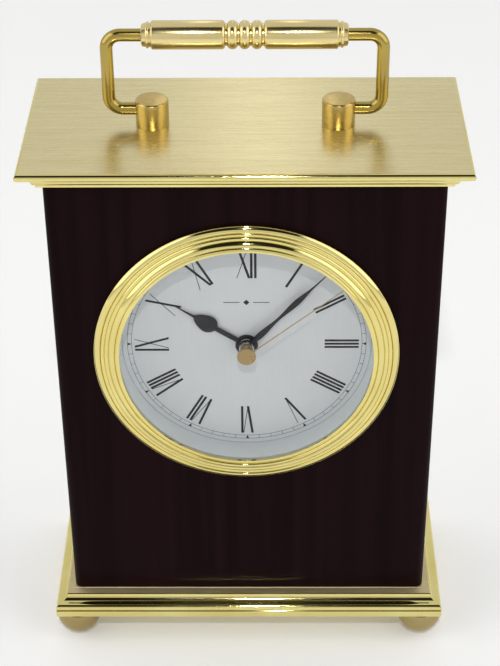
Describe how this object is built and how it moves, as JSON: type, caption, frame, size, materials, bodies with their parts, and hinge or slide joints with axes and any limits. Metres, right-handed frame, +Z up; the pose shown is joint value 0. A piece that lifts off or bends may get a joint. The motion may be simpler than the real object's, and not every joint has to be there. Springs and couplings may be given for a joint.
{
  "type": "carriage clock",
  "caption": "Rectangular wooden desk clock between brass base and top mouldings, with a drop handle, ball feet, round reeded bezel and a battery movement behind a hinged back door.",
  "frame": {"origin": "on the surface that the clock stands on, under the centre of its footprint", "axes": "+Z up, +X to the right of someone who reads the dial, -Y out of the dial"},
  "size_m": [0.121, 0.0584, 0.1975],
  "materials": {
    "polished_brass": "polished and lacquered",
    "satin_brass": "brushed and lacquered",
    "case_wood": "dark stain under gloss lacquer",
    "glass": "clear flat glass",
    "dial_metal": "silvered matt with printed black figures",
    "hand_black": "gloss black",
    "steel": "zinc plated",
    "movement_plastic": "moulded",
    "gear_plastic": "moulded",
    "magnet_dark": "sintered ferrite look",
    "coil_wire": "enamelled copper winding",
    "board": "solder mask",
    "cell_jacket": "plain printed jacket"
  },
  "bodies": {
    "case": {"back_frame": "case_wood", "back_frame_screws": "steel", "base_moulding": "polished_brass", "base_plate": "polished_brass", "base_screws": "steel", "battery": "cell_jacket", "battery_contacts": "steel", "bezel": "polished_brass", "case_bottom_board": "case_wood", "case_top_board": "case_wood", "circuit_board": "board", "coil_core": "steel", "dial_foot_nuts": "steel", "dial_plate": "dial_metal", "dial_retaining_ring": "steel", "dial_screws": "steel", "door_magnet": "magnet_dark", "drive_coil": "coil_wire", "foot_back_left": "polished_brass", "foot_back_right": "polished_brass", "foot_front_left": "polished_brass", "foot_front_right": "polished_brass", "foot_studs": "steel", "front_panel": "case_wood", "glass": "glass", "glass_ring": "dial_metal", "handle_post_left": "satin_brass", "handle_post_right": "satin_brass", "handle_post_screws": "steel", "hinge_leaves_frame": "satin_brass", "hinge_pins": "satin_brass", "movement_case_back": "movement_plastic", "movement_case_front": "movement_plastic", "side_panel_left": "case_wood", "side_panel_right": "case_wood", "stator": "steel", "top_moulding": "polished_brass", "top_plate": "satin_brass", "train_plate": "movement_plastic"},
    "handle": {"bail_arm_left": "polished_brass", "bail_arm_right": "polished_brass", "handle_grip": "polished_brass"},
    "door": {"back_door": "case_wood", "hinge_leaves_door": "satin_brass", "door_knob": "polished_brass", "door_strike_plate": "steel"},
    "seconds": {"second_hand": "polished_brass", "second_wheel": "gear_plastic"},
    "third": {"third_wheel": "gear_plastic"},
    "centre": {"centre_wheel": "gear_plastic"},
    "intermediate": {"intermediate_wheel": "gear_plastic"},
    "stepper": {"rotor": "magnet_dark"},
    "minutes": {"minute_hand": "hand_black", "cannon_pinion": "gear_plastic", "hand_nut": "steel"},
    "motion": {"motion_wheel": "gear_plastic", "set_knob": "movement_plastic"},
    "hours": {"hour_hand": "hand_black", "hour_wheel": "gear_plastic"}
  },
  "joints": [
    {"name": "handle_swing", "type": "hinge", "parent": "case", "child": "handle", "pos_m": [0, 0, 0.17184], "axis": [1, 0, 0], "range_deg": [-91.5, 91.5]},
    {"name": "back_door_hinge", "type": "hinge", "parent": "case", "child": "door", "pos_m": [-0.03475, 0.02455, 0.0889], "axis": [0, 0, 1], "range_deg": [0, 110]},
    {"name": "second_hand_spin", "type": "hinge", "parent": "case", "child": "seconds", "pos_m": [0, -0.00915, 0.1054], "axis": [0, 1, 0], "continuous": true},
    {"name": "third_wheel_spin", "type": "hinge", "parent": "case", "child": "third", "pos_m": [-0.0078, -0.00915, 0.10991], "axis": [0, 1, 0], "continuous": true},
    {"name": "centre_wheel_spin", "type": "hinge", "parent": "case", "child": "centre", "pos_m": [0, -0.01115, 0.1054], "axis": [0, 1, 0], "continuous": true},
    {"name": "intermediate_wheel_spin", "type": "hinge", "parent": "case", "child": "intermediate", "pos_m": [0.00336, -0.00615, 0.11122], "axis": [0, 1, 0], "continuous": true},
    {"name": "rotor_spin", "type": "hinge", "parent": "case", "child": "stepper", "pos_m": [0.00918, -0.00415, 0.11458], "axis": [0, 1, 0], "continuous": true},
    {"name": "minute_hand_spin", "type": "hinge", "parent": "case", "child": "minutes", "pos_m": [0, -0.01315, 0.1054], "axis": [0, 1, 0], "continuous": true},
    {"name": "motion_wheel_spin", "type": "hinge", "parent": "case", "child": "motion", "pos_m": [0.00889, -0.01315, 0.10302], "axis": [0, 1, 0], "continuous": true},
    {"name": "hour_hand_spin", "type": "hinge", "parent": "case", "child": "hours", "pos_m": [0, -0.01415, 0.1054], "axis": [0, 1, 0], "continuous": true}
  ],
  "couplings": [
    {"joint": "third_wheel_spin", "follows": "second_hand_spin", "ratio": -0.13333},
    {"joint": "centre_wheel_spin", "follows": "second_hand_spin", "ratio": 0.016667},
    {"joint": "intermediate_wheel_spin", "follows": "second_hand_spin", "ratio": -5},
    {"joint": "rotor_spin", "follows": "second_hand_spin", "ratio": 30},
    {"joint": "motion_wheel_spin", "follows": "minute_hand_spin", "ratio": -0.33333},
    {"joint": "hour_hand_spin", "follows": "minute_hand_spin", "ratio": 0.083333}
  ]
}
